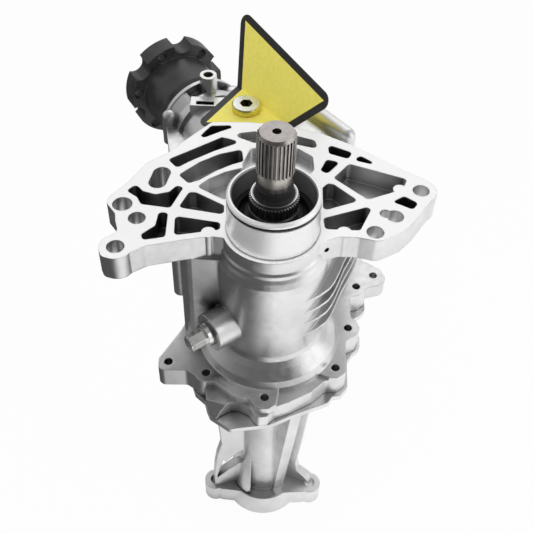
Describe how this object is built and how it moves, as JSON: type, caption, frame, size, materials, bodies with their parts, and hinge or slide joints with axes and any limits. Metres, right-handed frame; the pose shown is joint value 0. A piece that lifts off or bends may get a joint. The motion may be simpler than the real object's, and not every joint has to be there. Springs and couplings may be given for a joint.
{
  "type": "transfer case",
  "caption": "Cast transfer case: ribbed mounting flange and spigot, splined link shaft through a hollow input shaft, bolted tube cover, angled neck with a notched output flange.",
  "frame": {"origin": "centre of the locating spigot in the plane of the mounting face", "axes": "+Z along the input and link shafts towards the gearbox, +X to the right in the picture, +Y away from the viewer towards the output neck"},
  "size_m": [0.2744, 0.3799, 0.4585],
  "materials": {
    "cast_aluminium": "satin, machined bright on the mounting faces",
    "machined_aluminium": "turned bright",
    "black_rubber": "matte",
    "zinc_plated_steel": "bright zinc with a faint yellow tint",
    "copper_washer": "plain",
    "gasket_metal": "coated",
    "shaft_steel": "machined, warm grey",
    "gear_steel": "hardened, dark",
    "bearing_steel": "ground",
    "black_coated_steel": "satin black",
    "tag_plastic": "printed card, yellow with a black border"
  },
  "bodies": {
    "case": {"main_case": "cast_aluminium", "spigot": "machined_aluminium", "spigot_o_ring": "black_rubber", "input_seal": "black_rubber", "end_cover": "cast_aluminium", "cover_gasket": "gasket_metal", "dowel_pins": "gear_steel", "cover_bolts": "zinc_plated_steel", "tube_seal": "black_rubber", "link_bearing_circlip": "gear_steel", "filler_plug": "zinc_plated_steel", "filler_washer": "copper_washer", "tag": "tag_plastic", "drain_plug": "zinc_plated_steel", "drain_washer": "gasket_metal", "input_upper_bearing_outer": "bearing_steel", "input_lower_bearing_outer": "bearing_steel", "transfer_upper_bearing_outer": "bearing_steel", "transfer_lower_bearing_outer": "bearing_steel", "link_bearing_outer": "bearing_steel", "pinion_inner_bearing_cup": "bearing_steel", "pinion_outer_bearing_cup": "bearing_steel", "pinion_seal": "black_rubber"},
    "input": {"input_shaft": "shaft_steel", "drive_gear": "gear_steel", "input_upper_bearing_inner": "bearing_steel", "input_upper_bearing_balls": "bearing_steel", "input_lower_bearing_inner": "bearing_steel", "input_lower_bearing_balls": "bearing_steel", "link_shaft_seal": "black_rubber"},
    "link": {"link_shaft": "shaft_steel", "link_bearing_inner": "bearing_steel", "link_bearing_balls": "bearing_steel"},
    "transfer": {"transfer_shaft": "gear_steel", "driven_gear": "gear_steel", "ring_gear": "gear_steel", "ring_gear_bolts": "gear_steel", "transfer_upper_bearing_inner": "bearing_steel", "transfer_upper_bearing_balls": "bearing_steel", "transfer_lower_bearing_inner": "bearing_steel", "transfer_lower_bearing_balls": "bearing_steel"},
    "pinion": {"pinion_shaft": "gear_steel", "pinion_inner_bearing_cone": "bearing_steel", "pinion_inner_bearing_rollers": "bearing_steel", "pinion_outer_bearing_cone": "bearing_steel", "pinion_outer_bearing_rollers": "bearing_steel", "pinion_spacer": "gear_steel", "output_flange": "black_coated_steel", "pinion_nut": "gear_steel"}
  },
  "joints": [
    {"name": "input_spin", "type": "hinge", "parent": "case", "child": "input", "pos_m": [0, 0, -0.06], "axis": [0, 0, 1], "continuous": true},
    {"name": "link_spin", "type": "hinge", "parent": "case", "child": "link", "pos_m": [0, 0, -0.2], "axis": [0, 0, 1], "continuous": true},
    {"name": "transfer_spin", "type": "hinge", "parent": "case", "child": "transfer", "pos_m": [0.01, 0.07937, -0.1], "axis": [0, 0, 1], "continuous": true},
    {"name": "pinion_spin", "type": "hinge", "parent": "case", "child": "pinion", "pos_m": [-0.0527, 0.18169, -0.062], "axis": [-0.5225, 0.8526, 0], "continuous": true}
  ],
  "couplings": [
    {"joint": "transfer_spin", "follows": "input_spin", "ratio": -0.73913},
    {"joint": "pinion_spin", "follows": "input_spin", "ratio": -1.9094}
  ]
}
